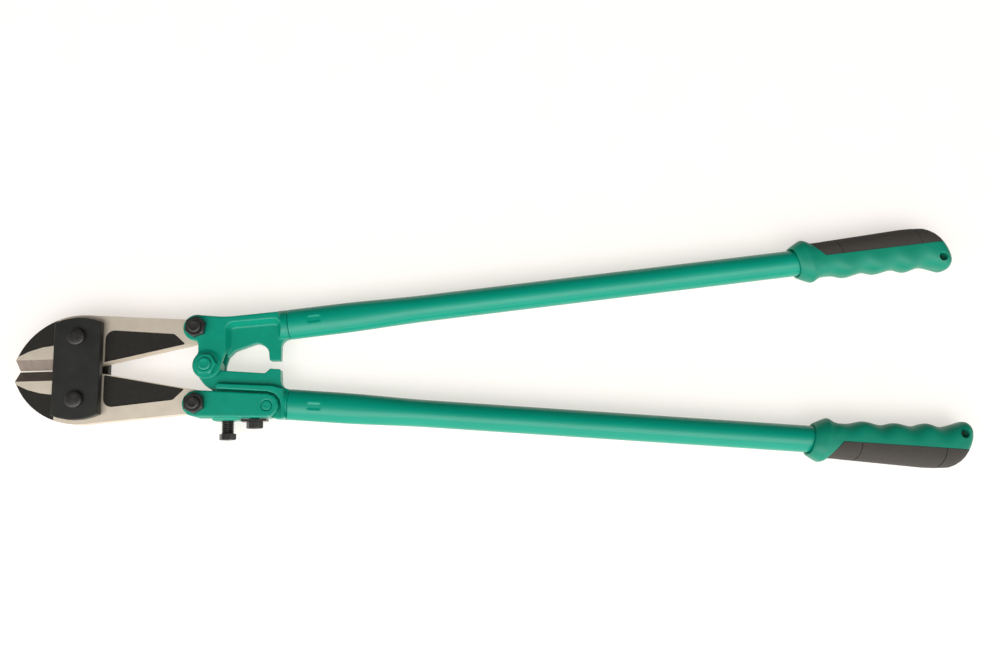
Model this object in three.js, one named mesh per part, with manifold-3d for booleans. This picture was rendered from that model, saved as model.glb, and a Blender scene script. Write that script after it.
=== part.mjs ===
// Long-handled bolt cutter with compound levers, in millimetres.
// It lies flat: +X runs along the tool towards the grips, +Y towards the upper handle, +Z up.
// The tool is drawn about its centre pivot, mid-plane at z = 0, and set down on z = 0 at the end.
import * as THREE from "three";
import { mergeVertices } from "three/addons/utils/BufferGeometryUtils.js";
import Module from "manifold-3d";

const wasm = await Module();
wasm.setup();

// ---- driving dimensions ----
const gap = 0.3; // between pieces that touch
const runningGap = 0.3; // round a pin that turns
const steps = 3; // straight steps in half of a rounded corner
const roundSides = 28; // sides of a round piece

// linkage, in plan
const strapPin = { x: -116.8, y: 28.8 }; // jaw to strap pivots
const jawPin = { x: -9.8, y: 35.2 }; // jaw to handle pivots
const linkPin = { x: 54.8, y: -39 }; // adjusting link to lower casting

// jaws
const jawHalf = 6.5;
const jawArcRadius = 62.7; // outer edge of the jaw's head
const jawArcCentre = { x: -115.7, y: -12 };
const noseX = -174.5;
const bladeGap = 1.1; // between the two cutting edges at rest
const bladeLand = 0.8; // half thickness left at the cutting edge
const bevelWidth = 9.9;
const bevelEndX = -128;
const outerTaper = 4.05 * (Math.PI / 180);
const innerTaper = 11.5 * (Math.PI / 180);
const innerTaperX = -116.5; // where the inner edges start to part
const tailHalf = 8.2; // jaw pivot to the tail's outer edge
const noseRecess = 0.5;
const panelRecess = 1;

// straps
const strapWidth = 42;
const strapHalfLength = 47.1;
const strapCornerY = 42.6;
const strapThickness = 8;

// fasteners
const strapBolt = { shank: 5.5, head: 7.7, headHeight: 4.2, nutFlats: 16, nutHeight: 4.6, end: 0.6 };
const jawBolt = { shank: 6, headFlats: 17, headHeight: 7, nutFlats: 17, nutHeight: 6.5, end: 2.5 };
const centreBolt = { shank: 6, headFlats: 17, headHeight: 6.2, nutFlats: 17.6, nutHeight: 6.2, end: 2 };
const linkPinRadius = 4.5;

// castings
const castHalf = 12;
const lobeRadius = 12.3; // round the jaw pivots
const bossRadius = 13; // round the centre pivot
const bossRise = 0.8;
const forkEndX = 16.6; // closed end of the fork slot
const pocketWeb = 4.5; // half thickness of the upper casting's web
const pocketDraft = 4.2; // width of the pocket's sloping walls
const stopGap = 7.6; // between the two handle stops at rest
const stopCentreY = -0.45;
const stopLeftX = 56;
const stopRightX = 66.4;
const rimHalf = 11.6; // half thickness of the lower casting's rib and rim
const rimInnerX = 68.2; // rim's inner edge, past the link's end
const neckFillet = 8.5; // in plan, from a stop to the tube
const centrePinPlay = 4.2; // clearance hidden inside the lower casting's eye

// adjusting link
const linkEndRadius = 11;
const linkRecessGap = 2.1;
const recessStep = 0.25; // recess floor below the tongue's own face
const linkFaceY = -50.2; // front face of the link's web
const linkWebThickness = 5;
const screwX = 17.5;
const screwRadius = 5.8;
const screwHeadY = -63.4;
const screwHead = { flats: 13.4, height: 5.6 };
const bossHalfLength = 13;
const bossProud = 1.4;
const lockX = 42;
const lockBolt = { shank: 4, flats: 13.4, head: 6.2, depth: 14 };
const lockWasher = { x0: 30.3, x1: 53.7, thickness: 2.1, width: 11 };
const screwTipGap = 0.4;

// handles: each has its own frame, u along the tube from the joint with the casting
const handleAngle = 5.6 * (Math.PI / 180);
const handleStart = { x: 73.2, y: 37.7 };
const tubeSides = 32;
const tubeRadius = 12.7;
const tubeWall = 2;
const tubeEnd = 597.8;
const ovalSpread = 1.6; // the flattened start is this much wider than the tube
const ovalPress = 1.8; // and this much lower
const ovalEnd = 46;
const roundStart = 132;
const spigotLength = 42;
const stubLength = 10;
const tubeInGrip = 88; // length of tube inside the grip's body
const collarLength = 19; // collar in front of the grip's body
const gripLength = 134.4;
const gripWall = 3.3; // over the tube's upper side
const gripEdge = 7;
const bodyCoreWall = 1.6; // grip body left over the tube, under the pad
const padSeam = 1.2; // pad's inner edge, from the tube axis
const padSlant = 10; // how far the pad's front edge slants back
const hangHole = { fromEnd: 10.6, wall: 1.4, r: 4 };

// ---- values that follow ----
const strapInner = jawHalf + gap;
const strapOuter = strapInner + strapThickness;
const forkHalf = jawHalf + gap;
const tongueHalf = jawHalf - gap;
const stopUpperY = stopCentreY + stopGap / 2;
const stopLowerY = stopCentreY - stopGap / 2;
const tongueFrontY = linkFaceY + linkWebThickness + 0.6;
const bossFace = castHalf + bossRise;
const ovalHalfWidth = tubeRadius + ovalSpread;
const ovalHalfHeight = tubeRadius - ovalPress;
const gripBodyStart = tubeEnd - tubeInGrip;
const collarFront = gripBodyStart - collarLength;
const gripEnd = gripBodyStart + gripLength;
const gripHalfHeight = tubeRadius + gripWall;

// ---- materials ----
const finish = (color, roughness, metalness) =>
  new THREE.MeshStandardMaterial({ color, roughness, metalness });
const materials = {
  groundSteel: finish("#b9b0a3", 0.35, 1),
  blackOxide: finish("#3b3a37", 0.5, 0.8),
  greenPaint: finish("#06947a", 0.35, 0),
  greenGrip: finish("#0c8f70", 0.5, 0),
  greyRubber: finish("#4f4943", 0.85, 0),
};

// ---- solids ----
function solid(geometry) {
  const bare = geometry.index ? geometry.toNonIndexed() : geometry.clone();
  bare.deleteAttribute("normal");
  bare.deleteAttribute("uv");
  const merged = mergeVertices(bare, 1e-4);
  return new wasm.Manifold(
    new wasm.Mesh({
      numProp: 3,
      vertProperties: merged.attributes.position.array,
      triVerts: new Uint32Array(merged.index.array),
    }),
  );
}

function geometryOf(piece) {
  const mesh = piece.getMesh();
  return new THREE.BufferGeometry()
    .setAttribute("position", new THREE.BufferAttribute(mesh.vertProperties, 3))
    .setIndex(new THREE.BufferAttribute(mesh.triVerts, 1));
}

const join = (...pieces) => pieces.reduce((whole, piece) => whole.add(piece));
const cut = (body, ...tools) => tools.reduce((rest, tool) => rest.subtract(tool), body);

// A closed outline from corners [x, y, radius]; the radius rounds that corner with an arc.
// side = -1 mirrors it in y.
function outline(corners, side = 1) {
  const shape = new THREE.Shape();
  const points = corners.map(([x, y]) => new THREE.Vector2(x, y * side));
  points.forEach((corner, i) => {
    const toPrevious = points.at(i - 1).clone().sub(corner);
    const toNext = points[(i + 1) % points.length].clone().sub(corner);
    const wall = 0.49 * Math.min(toPrevious.length(), toNext.length());
    toPrevious.normalize();
    toNext.normalize();
    const half = Math.acos(THREE.MathUtils.clamp(toPrevious.dot(toNext), -1, 1)) / 2;
    const radius = Math.min(corners[i][2] ?? 0, wall * Math.tan(half));
    const back = radius / Math.tan(half);
    const start = corner.clone().addScaledVector(toPrevious, back);
    const end = corner.clone().addScaledVector(toNext, back);
    if (i === 0) shape.moveTo(start.x, start.y);
    else shape.lineTo(start.x, start.y);
    if (radius < 0.01) return;
    const inward = toPrevious.clone().add(toNext).normalize();
    const centre = corner.clone().addScaledVector(inward, radius / Math.sin(half));
    const from = start.clone().sub(centre).angle();
    const to = end.clone().sub(centre).angle();
    shape.absarc(centre.x, centre.y, radius, from, to, toPrevious.cross(toNext) > 0);
  });
  shape.closePath();
  return shape;
}

// A shape made solid from z0 to z1, with an optional chamfer round both faces.
function plate(shape, z0, z1, chamfer = 0) {
  const geometry = new THREE.ExtrudeGeometry(shape, {
    depth: z1 - z0 - 2 * chamfer,
    curveSegments: steps,
    bevelEnabled: chamfer > 0,
    bevelSize: chamfer,
    bevelThickness: chamfer,
    bevelOffset: -chamfer,
    bevelSegments: 1,
  });
  return solid(geometry.translate(0, 0, z0 + chamfer));
}

function disc(x, y, radius, z0, z1, sides = roundSides) {
  const geometry = new THREE.CylinderGeometry(radius, radius, z1 - z0, sides);
  return solid(geometry.rotateX(Math.PI / 2).translate(x, y, (z0 + z1) / 2));
}

function box(x0, x1, y0, y1, z0, z1) {
  const geometry = new THREE.BoxGeometry(x1 - x0, y1 - y0, z1 - z0);
  return solid(geometry.translate((x0 + x1) / 2, (y0 + y1) / 2, (z0 + z1) / 2));
}

// A hexagon with its corners turned down, about z.
function hexagon(flats, height) {
  const corner = flats / Math.sqrt(3);
  const prism = solid(new THREE.CylinderGeometry(corner, corner, height, 6).rotateX(Math.PI / 2));
  const turned = [
    new THREE.Vector2(0, -height / 2),
    new THREE.Vector2(corner, -height / 2),
    new THREE.Vector2(corner, height / 2 - (corner - flats / 2) * 0.6),
    new THREE.Vector2(flats / 2 - 0.3, height / 2),
    new THREE.Vector2(0, height / 2),
  ];
  return prism.intersect(solid(new THREE.LatheGeometry(turned, roundSides).rotateX(Math.PI / 2)));
}

function hexAt(x, y, flats, z0, z1) {
  const up = z1 > z0;
  const height = Math.abs(z1 - z0);
  const body = hexagon(flats, height);
  return (up ? body : body.rotate([180, 0, 0])).translate([x, y, (z0 + z1) / 2]);
}

// Two round ends joined by straight tangents, as on a link.
function linkShape(a, radiusA, b, radiusB) {
  const along = Math.atan2(b.y - a.y, b.x - a.x);
  const lean = Math.acos((radiusA - radiusB) / Math.hypot(b.x - a.x, b.y - a.y));
  const shape = new THREE.Shape();
  shape.absarc(a.x, a.y, radiusA, along + lean, along - lean + 2 * Math.PI, false);
  shape.absarc(b.x, b.y, radiusB, along - lean, along + lean, false);
  shape.closePath();
  return shape;
}

// The same cut on the upper face and, mirrored, on the lower face.
function onBothFaces(make) {
  const upper = make();
  return upper.add(upper.mirror([0, 0, 1]));
}

// ---- jaws ----
function jawOutline(side) {
  const arcStart = Math.acos((noseX + 1.2 - jawArcCentre.x) / jawArcRadius);
  const arcEnd = Math.PI / 2 - outerTaper;
  const tailX = jawPin.x + tailHalf;
  const arcEndPoint = {
    x: jawArcCentre.x + jawArcRadius * Math.cos(arcEnd),
    y: jawArcCentre.y + jawArcRadius * Math.sin(arcEnd),
  };
  const outerY = (x) => arcEndPoint.y - Math.tan(outerTaper) * (x - arcEndPoint.x);
  const innerY = (x) => bladeGap / 2 + Math.tan(innerTaper) * (x - innerTaperX);
  const corners = [
    [noseX + 2, bladeGap / 2, 0],
    [innerTaperX, bladeGap / 2, 20],
    [tailX - 2, innerY(tailX - 2), 7],
    [tailX, outerY(tailX), tailHalf],
    [arcEndPoint.x, arcEndPoint.y, 0],
  ];
  const arcSteps = 12;
  for (let i = 1; i <= arcSteps; i++) {
    const angle = arcEnd + ((arcStart - arcEnd) * i) / arcSteps;
    corners.push([
      jawArcCentre.x + jawArcRadius * Math.cos(angle),
      jawArcCentre.y + jawArcRadius * Math.sin(angle),
      0,
    ]);
  }
  corners.push([noseX, bevelWidth, 0]);
  return outline(corners, side);
}

// The wedge that grinding takes off the upper face along the cutting edge.
function bevelCut(side) {
  const edge = bladeGap / 2;
  const slope = (jawHalf - bladeLand) / (bevelWidth - edge);
  const over = 2;
  const wedge = new THREE.Shape();
  wedge.moveTo((edge - over) * side, bladeLand - slope * over);
  wedge.lineTo((bevelWidth + over) * side, jawHalf + slope * over);
  wedge.lineTo((edge - over) * side, jawHalf + slope * over);
  wedge.closePath();
  const length = bevelEndX - noseX + over;
  const geometry = new THREE.ExtrudeGeometry(wedge, { depth: length, bevelEnabled: false });
  // the shape's own x becomes y, its y becomes z and its depth runs along x
  const turn = new THREE.Matrix4().set(0, 0, 1, noseX - over, 1, 0, 0, 0, 0, 1, 0, 0, 0, 0, 0, 1);
  return solid(geometry.applyMatrix4(turn));
}

// The forged hollow that stays black on the nose, outside the ground flat.
function noseHollow(side) {
  const wall = strapPin.x - strapWidth / 2 - 0.5;
  const shape = new THREE.Shape();
  shape.moveTo(wall, 23 * side);
  shape.quadraticCurveTo(noseX + 16, 21.6 * side, noseX + 1, 12.6 * side);
  shape.lineTo(noseX - 8, 12.6 * side);
  shape.lineTo(noseX - 8, 60 * side);
  shape.lineTo(wall, 60 * side);
  shape.closePath();
  return plate(shape, jawHalf - noseRecess, jawHalf + 2);
}

// The long recessed panel on the tail; a ground border stays proud round it.
function tailPanel(side) {
  const corners = [
    [-94.7, 5.8, 1],
    [-94.7, 36.4, 8],
    [-31.7, 30.9, 4],
    [-21, 20.9, 1],
  ];
  return plate(outline(corners, side), jawHalf - panelRecess, jawHalf + 2);
}

function jaw(side) {
  const cuts = onBothFaces(() => join(bevelCut(side), noseHollow(side), tailPanel(side)));
  return cut(
    plate(jawOutline(side), -jawHalf, jawHalf),
    cuts,
    disc(strapPin.x, strapPin.y * side, strapBolt.shank + runningGap, -jawHalf - 1, jawHalf + 1),
    disc(jawPin.x, jawPin.y * side, jawBolt.shank + runningGap, -jawHalf - 1, jawHalf + 1),
  );
}

// ---- straps and their fasteners ----
function strap(z0) {
  const halfWidth = strapWidth / 2;
  const rise = strapHalfLength - strapCornerY;
  const radius = (halfWidth ** 2 + rise ** 2) / (2 * rise);
  const spread = Math.asin(halfWidth / radius);
  const shape = new THREE.Shape();
  const centreY = strapHalfLength - radius;
  shape.absarc(strapPin.x, centreY, radius, Math.PI / 2 - spread, Math.PI / 2 + spread, false);
  shape.absarc(strapPin.x, -centreY, radius, -Math.PI / 2 - spread, -Math.PI / 2 + spread, false);
  shape.closePath();
  const holes = [1, -1].map((side) =>
    disc(strapPin.x, strapPin.y * side, strapBolt.shank + gap, z0 - 1, z0 + strapThickness + 1),
  );
  return cut(plate(shape, z0, z0 + strapThickness, 0.8), ...holes);
}

function domeHeadBolt(side) {
  const { shank, head, headHeight, nutHeight, end } = strapBolt;
  const top = strapOuter + gap;
  const profile = [
    new THREE.Vector2(0, -strapOuter - gap - nutHeight - end),
    new THREE.Vector2(shank, -strapOuter - gap - nutHeight - end),
    new THREE.Vector2(shank, top),
    new THREE.Vector2(head, top),
    new THREE.Vector2(head, top + headHeight - 1.4),
    new THREE.Vector2(head - 0.5, top + headHeight - 0.6),
    new THREE.Vector2(head - 2, top + headHeight - 0.2),
    new THREE.Vector2(0, top + headHeight),
  ];
  return solid(
    new THREE.LatheGeometry(profile, roundSides)
      .rotateX(Math.PI / 2)
      .translate(strapPin.x, strapPin.y * side, 0),
  );
}

function ringNut(x, y, flats, height, bore, z0) {
  const up = z0 > 0;
  const z1 = up ? z0 + height : z0 - height;
  const body = hexAt(x, y, flats, z0, z1);
  return cut(body, disc(x, y, bore, Math.min(z0, z1) - 1, Math.max(z0, z1) + 1));
}

// A hex bolt from below: its head under the lower cheek, its end standing out of the nut above.
function hexBolt(x, y, size, under = castHalf) {
  const face = under + gap;
  const headEnd = -face - size.headHeight;
  const profile = [
    new THREE.Vector2(0, -face - 1),
    new THREE.Vector2(size.shank, -face - 1),
    new THREE.Vector2(size.shank, face + size.nutHeight + size.end - 1),
    new THREE.Vector2(size.shank - 1, face + size.nutHeight + size.end),
    new THREE.Vector2(0, face + size.nutHeight + size.end),
  ];
  const shank = new THREE.LatheGeometry(profile, roundSides).rotateX(Math.PI / 2).translate(x, y, 0);
  return join(hexAt(x, y, size.headFlats, -face, headEnd), solid(shank));
}

// ---- castings ----
// Moves a piece drawn in a handle's frame to its place.
function atHandle(geometry, side) {
  const place = new THREE.Matrix4()
    .makeTranslation(handleStart.x, handleStart.y * side, 0)
    .multiply(new THREE.Matrix4().makeRotationZ(handleAngle * side));
  return solid(geometry.applyMatrix4(place));
}

// An oval bar along the handle, from u0 to u1; its height at u0 can differ.
function ovalBar(side, u0, u1, halfWidth, halfHeight, startHeight = halfHeight) {
  const bar = new THREE.CylinderGeometry(1, 1, u1 - u0, tubeSides)
    .rotateZ(-Math.PI / 2)
    .scale(1, halfWidth, halfHeight);
  const position = bar.getAttribute("position");
  for (let i = 0; i < position.count; i++) {
    if (position.getX(i) > 0) continue;
    position.setZ(i, (position.getZ(i) * startHeight) / halfHeight);
  }
  return atHandle(bar.translate((u0 + u1) / 2, 0, 0), side);
}

// The casting's end in the tube's own outline; it meets the casting's face at its far end.
const tubeStub = (side, face) =>
  ovalBar(side, -stubLength, 1, ovalHalfWidth, ovalHalfHeight, face);

// Ends a casting square at the tube, with a spigot that goes inside it.
function fitToTube(casting, side) {
  const beyond = atHandle(new THREE.BoxGeometry(60, 80, 80).translate(30, 0, 0), side);
  const boreShare = (tubeRadius - tubeWall) / tubeRadius;
  const width = ovalHalfWidth * boreShare - gap;
  const height = ovalHalfHeight * boreShare - gap;
  return join(cut(casting, beyond), ovalBar(side, -1, spigotLength, width, height));
}

function upperCasting() {
  const tubeInner = handleStart.y - ovalHalfWidth + 0.4;
  const web = outline([
    [12, 8, 0],
    [17.5, 7.5, 3],
    [23.5, 13.4, 4],
    [45.5, 20.9, 9],
    [54.9, 14.6, 8],
    [stopLeftX, stopUpperY, 1],
    [stopRightX, stopUpperY - 0.3, 1],
    [stopRightX + 0.4, tubeInner - 0.6, neckFillet],
    [handleStart.x + 8, tubeInner + 0.7, 0],
    [handleStart.x + 4, handleStart.y, 0],
    [stopLeftX, handleStart.y + 6, 0],
    [12, 30, 0],
  ]);
  const body = outline([
    [-11, 6.5, 0],
    [2, -6, 0],
    [11.5, -5, 0],
    [15.2, 7, 4],
    [20, 16, 0],
    [44, 25, 0],
    [58, 28, 0],
    [stopRightX - 0.6, 28, 0],
    [stopRightX - 0.6, 48.8, 3],
    [16, 44.8, 90],
    [-8.6, 47.4, 0],
    [-14, 30, 0],
    [-8.2, 20, 6],
    [-8.2, 11.8, 5],
  ]);
  // the pocket's floor, open towards the stop; its walls slope outwards by pocketDraft
  const floor = outline([
    [20.8, 2, 0],
    [20.8, 35.4, 3],
    [63.2, 38.2, 3],
    [63.9, 26, 6],
    [stopRightX + 5, 12, 0],
    [stopRightX + 5, -20, 0],
    [40, -20, 0],
  ]);
  const pocket = () =>
    solid(
      new THREE.ExtrudeGeometry(floor, {
        depth: 1,
        curveSegments: steps,
        bevelEnabled: true,
        bevelSize: pocketDraft,
        bevelThickness: castHalf - pocketWeb,
        bevelSegments: 1,
      }).translate(0, 0, castHalf),
    );
  const thick = join(
    plate(body, -castHalf, castHalf, 0.6),
    disc(jawPin.x, jawPin.y, lobeRadius, -castHalf, castHalf, 36),
    tubeStub(1, castHalf),
  );
  const whole = join(
    cut(thick, onBothFaces(pocket)),
    plate(web, -pocketWeb, pocketWeb),
    disc(0, 0, bossRadius, -bossFace, bossFace, 36),
  );
  return cut(
    fitToTube(whole, 1),
    box(-40, forkEndX, -20, 15, -forkHalf, forkHalf),
    box(-40, 5.5, 14, 60, -forkHalf, forkHalf),
    disc(0, 0, centreBolt.shank + gap, -bossFace - 1, bossFace + 1),
    disc(jawPin.x, jawPin.y, jawBolt.shank + gap, -bossFace - 1, bossFace + 1),
  );
}

function lowerCasting() {
  const tubeInner = -handleStart.y + ovalHalfWidth - 0.4;
  const tongue = outline([
    [-11.3, -6.4, 0],
    [11, -4.7, 0],
    [52, -8.4, 1.5],
    [stopLeftX + 0.8, stopLowerY, 1],
    [stopRightX, stopLowerY - 0.8, 1],
    [stopRightX + 0.5, tubeInner + 0.6, neckFillet],
    [handleStart.x + 8, tubeInner - 0.7, 0],
    [handleStart.x + 4, -handleStart.y, 0],
    [64, -44, 0],
    [59.6, tongueFrontY, 2],
    [4.4, tongueFrontY, 3],
    [4.4, -23.3, 2],
    [-3, -18.4, 20],
  ]);
  // rib over the link and rim round its end
  const rimTurn = { x: 60.5, y: -20.7 };
  const rimCorner = { x: 69.6, y: -23.9 };
  const rim = outline([
    [8.6, -17, 1.5],
    [rimTurn.x, rimTurn.y, 0],
    [rimCorner.x, rimCorner.y, 0],
    [rimInnerX + 3.6, linkFaceY - 1.6, 2],
    [60.2, linkFaceY - 0.8, 2],
    [60.2, -40, 0],
    [48, -30, 0],
    [48, -25.4, 2],
    [8.6, -22.2, 1.5],
  ]);
  // what the tube's outline loses above the rim's edge, down to the tongue's face
  const relief = outline([
    [rimTurn.x - 4, rimTurn.y + 1.4, 0],
    [rimTurn.x, rimTurn.y + 1, 0],
    [rimCorner.x, rimCorner.y + 0.8, 0],
    [handleStart.x + 4, rimCorner.y - 3.4, 0],
    [handleStart.x + 4, 0, 0],
    [rimTurn.x - 4, 0, 0],
  ]);
  const eye = { x: jawPin.x, y: -jawPin.y };
  const recess = linkShape(eye, lobeRadius + linkRecessGap, linkPin, linkEndRadius + linkRecessGap);
  const recessFloor = tongueHalf - recessStep;
  const cuts = () =>
    join(
      plate(recess, recessFloor, castHalf + 2),
      box(linkPin.x, rimInnerX, linkFaceY - 4, linkPin.y, recessFloor, castHalf + 2),
    );
  const stub = cut(tubeStub(-1, rimHalf), onBothFaces(() => plate(relief, tongueHalf, castHalf + 2)));
  const whole = join(
    plate(tongue, -tongueHalf, tongueHalf),
    disc(0, 0, bossRadius - 0.5, -tongueHalf, tongueHalf, 36),
    plate(rim, -rimHalf, rimHalf, 0.6),
    stub,
  );
  return cut(
    fitToTube(whole, -1),
    onBothFaces(cuts),
    disc(0, 0, centreBolt.shank + centrePinPlay, -jawHalf - 1, jawHalf + 1),
    disc(linkPin.x, linkPin.y, linkPinRadius + runningGap, -castHalf - 1, castHalf + 1),
    boreAlongY(lockX, lockBolt.shank + gap, tongueFrontY - 1, tongueFrontY + lockBolt.depth),
  );
}

function boreAlongY(x, radius, y0, y1) {
  const geometry = new THREE.CylinderGeometry(radius, radius, y1 - y0, 20);
  return solid(geometry.translate(x, (y0 + y1) / 2, 0));
}

// ---- adjusting link and screws ----
function adjustingLink() {
  const eye = { x: jawPin.x, y: -jawPin.y };
  const shape = linkShape(eye, lobeRadius, linkPin, linkEndRadius);
  const cheeks = onBothFaces(() => plate(shape, forkHalf, castHalf, 0.6));
  const innerY = linkFaceY + linkWebThickness;
  const web = plate(
    outline([
      [6, linkFaceY + 0.5, 1],
      [57.4, linkFaceY + 0.2, 1],
      [57.4, innerY, 1],
      [6, innerY, 1],
    ]),
    -forkHalf - 0.5,
    forkHalf + 0.5,
  );
  const boss = plate(
    outline([
      [screwX - bossHalfLength, linkFaceY - bossProud, 3],
      [screwX + bossHalfLength, linkFaceY - bossProud, 3],
      [screwX + bossHalfLength, innerY - 1, 0],
      [screwX - bossHalfLength, innerY - 1, 0],
    ]),
    -castHalf + 3,
    castHalf - 3,
    1.2,
  );
  return cut(
    join(cheeks, web, boss),
    disc(eye.x, eye.y, jawBolt.shank + gap, -castHalf - 1, castHalf + 1),
    disc(linkPin.x, linkPin.y, linkPinRadius + gap, -castHalf - 1, castHalf + 1),
    boreAlongY(screwX, screwRadius + gap, linkFaceY - bossProud - 1, innerY + 1),
    boreAlongY(lockX, lockBolt.shank + 1, linkFaceY - bossProud - 1, innerY + 1),
  );
}

// A screw that points along +Y, its hex head at the -Y end.
function crossScrew(x, tipY, headTopY, radius, head) {
  const shank = new THREE.CylinderGeometry(radius, radius, tipY - headTopY + 0.5, 20);
  shank.translate(x, (tipY + headTopY - 0.5) / 2, 0);
  const hex = hexagon(head.flats, head.height)
    .rotate([90, 0, 0])
    .translate([x, headTopY - head.height / 2, 0]);
  return join(solid(shank), hex);
}

function lockWasherPlate() {
  const { x0, x1, thickness, width } = lockWasher;
  const y1 = linkFaceY - gap - 0.1;
  const body = box(x0, x1, y1 - thickness, y1, -width / 2, width / 2);
  return cut(body, boreAlongY(lockX, lockBolt.shank + gap, y1 - thickness - 1, y1 + 1));
}

// ---- handles, in their own frame: u along x, v along y, away from the other handle ----
// The tube is pressed oval where it takes the casting's spigot and goes back to round.
function flatten(geometry) {
  const position = geometry.getAttribute("position");
  for (let i = 0; i < position.count; i++) {
    const part = 1 - THREE.MathUtils.smoothstep(position.getX(i), ovalEnd, roundStart);
    position.setY(i, position.getY(i) * (1 + part * (ovalHalfWidth / tubeRadius - 1)));
    position.setZ(i, position.getZ(i) * (1 + part * (ovalHalfHeight / tubeRadius - 1)));
  }
  return geometry;
}

function tube() {
  const bore = tubeRadius - tubeWall;
  const stations = [gap];
  for (let u = ovalEnd; u <= roundStart; u += (roundStart - ovalEnd) / 6) stations.push(u);
  stations.push(tubeEnd);
  const profile = [
    ...stations.map((u) => new THREE.Vector2(tubeRadius, u)),
    ...stations.reverse().map((u) => new THREE.Vector2(bore, u)),
  ];
  profile.push(profile[0].clone());
  return solid(flatten(new THREE.LatheGeometry(profile, tubeSides).rotateZ(-Math.PI / 2)));
}

// The grip seen from above: finger waves on the inner side, a hooked end.
// Each point is [along from the body's front, wall beyond the tube's surface].
function gripOutline(side) {
  const shape = new THREE.Shape();
  const at = (along, v) => new THREE.Vector2(gripBodyStart + along, v * side);
  const inner = ([along, wall]) => at(along, -(tubeRadius + wall));
  const outer = ([along, wall]) => at(along, tubeRadius + wall);
  const fingers = [
    [17.5, 4.3],
    [30.4, 7.1],
    [48, 4.9],
    [60.8, 7.5],
    [78, 5.8],
    [90.9, 9.2],
    [108, 7.2],
    [116, 9.9],
    [124.5, 13],
    [130.8, 10.6],
    [gripLength, 2.3],
  ];
  const butt = [
    [123.4, 1.1],
    [114, 6.2],
    [104, 7.2],
  ];
  const hook = [
    at(gripLength - 1.4, -0.394 * tubeRadius),
    at(gripLength - 5.1, 0.354 * tubeRadius),
  ];
  const first = inner([0, 3.9]);
  shape.moveTo(first.x, first.y);
  shape.splineThru([...fingers.map(inner), ...hook, ...butt.map(outer)]);
  const last = outer([0, 4.2]);
  shape.lineTo(last.x, last.y);
  shape.closePath();
  return shape;
}

function gripBlock(side) {
  return solid(
    new THREE.ExtrudeGeometry(gripOutline(side), {
      depth: 2 * (gripHalfHeight - gripEdge),
      curveSegments: 3,
      bevelEnabled: true,
      bevelSize: gripEdge,
      bevelThickness: gripEdge,
      bevelOffset: -gripEdge,
      bevelSegments: 4,
    }).translate(0, 0, gripEdge - gripHalfHeight),
  );
}

// Flared guard at the grip's mouth, leaning so that its outer side comes further forward.
function gripCollar(side, grow = 0) {
  const bore = tubeRadius + gap;
  const back = gripBodyStart + 15;
  const profile = [
    [bore, collarFront],
    [bore + 2.4 + grow, collarFront],
    [bore + 7.2 + grow, collarFront + 11],
    [bore + 7.6 + grow, collarFront + 14],
    [bore + 4.2 + grow, collarFront + 22],
    [bore + 3 + grow, back + grow],
    [bore, back + grow],
    [bore, collarFront],
  ].map(([radius, u]) => new THREE.Vector2(radius, u));
  const geometry = new THREE.LatheGeometry(profile, roundSides).rotateZ(-Math.PI / 2);
  const position = geometry.getAttribute("position");
  const lean = 0.17;
  const flat = 0.86;
  for (let i = 0; i < position.count; i++) {
    const y = position.getY(i);
    const z = position.getZ(i);
    const out = Math.max(0, Math.hypot(y, z) - bore) / 8;
    position.setX(i, position.getX(i) - lean * y * side);
    position.setZ(i, z * (1 + Math.min(1, out) * (flat - 1)));
  }
  return solid(geometry);
}

function tubeBore(radius, end) {
  const start = collarFront - 10;
  const geometry = new THREE.CylinderGeometry(radius, radius, end - start, roundSides);
  return solid(geometry.rotateZ(-Math.PI / 2).translate((start + end) / 2, 0, 0));
}

// Where the soft pad takes over from the grip's body.
function padRegion(side, grow) {
  const edge = padSeam - grow;
  const front = gripBodyStart - 1 - grow;
  const corners = [
    [front, 40, 0],
    [front, 17, 0],
    [front + padSlant, edge, 0],
    [gripEnd + 5, edge, 0],
    [gripEnd + 5, 40, 0],
  ];
  return plate(outline(corners, side), -gripHalfHeight - 5, gripHalfHeight + 5);
}

function gripBody(side) {
  const core = tubeBore(tubeRadius + bodyCoreWall, tubeEnd + 6);
  const front = box(collarFront - 30, gripBodyStart, -40, 40, -40, 40);
  const { fromEnd, wall, r } = hangHole;
  const hole = { u: gripEnd - fromEnd, v: -(tubeRadius + wall) * side };
  const shell = cut(gripBlock(side), padRegion(side, gap));
  return cut(
    join(gripCollar(side), cut(core, front), shell),
    tubeBore(tubeRadius + gap, tubeEnd + 1),
    disc(hole.u, hole.v, r, -gripHalfHeight - 1, gripHalfHeight + 1, 28),
  );
}

function gripPad(side) {
  const core = tubeBore(tubeRadius + bodyCoreWall + gap, tubeEnd + 6 + gap);
  const block = gripBlock(side).intersect(padRegion(side, 0));
  return cut(block, core, gripCollar(side, gap));
}

// ---- assembly ----
const tool = new THREE.Group();

function add(parent, name, piece, material) {
  const mesh = new THREE.Mesh(geometryOf(piece), material);
  mesh.name = name;
  parent.add(mesh);
}

add(tool, "upper_jaw", jaw(1), materials.groundSteel);
add(tool, "lower_jaw", jaw(-1), materials.groundSteel);
add(tool, "front_strap", strap(strapInner), materials.blackOxide);
add(tool, "back_strap", strap(-strapOuter), materials.blackOxide);
add(tool, "upper_casting", upperCasting(), materials.greenPaint);
add(tool, "lower_casting", lowerCasting(), materials.greenPaint);
add(tool, "adjusting_link", adjustingLink(), materials.greenPaint);

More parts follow.
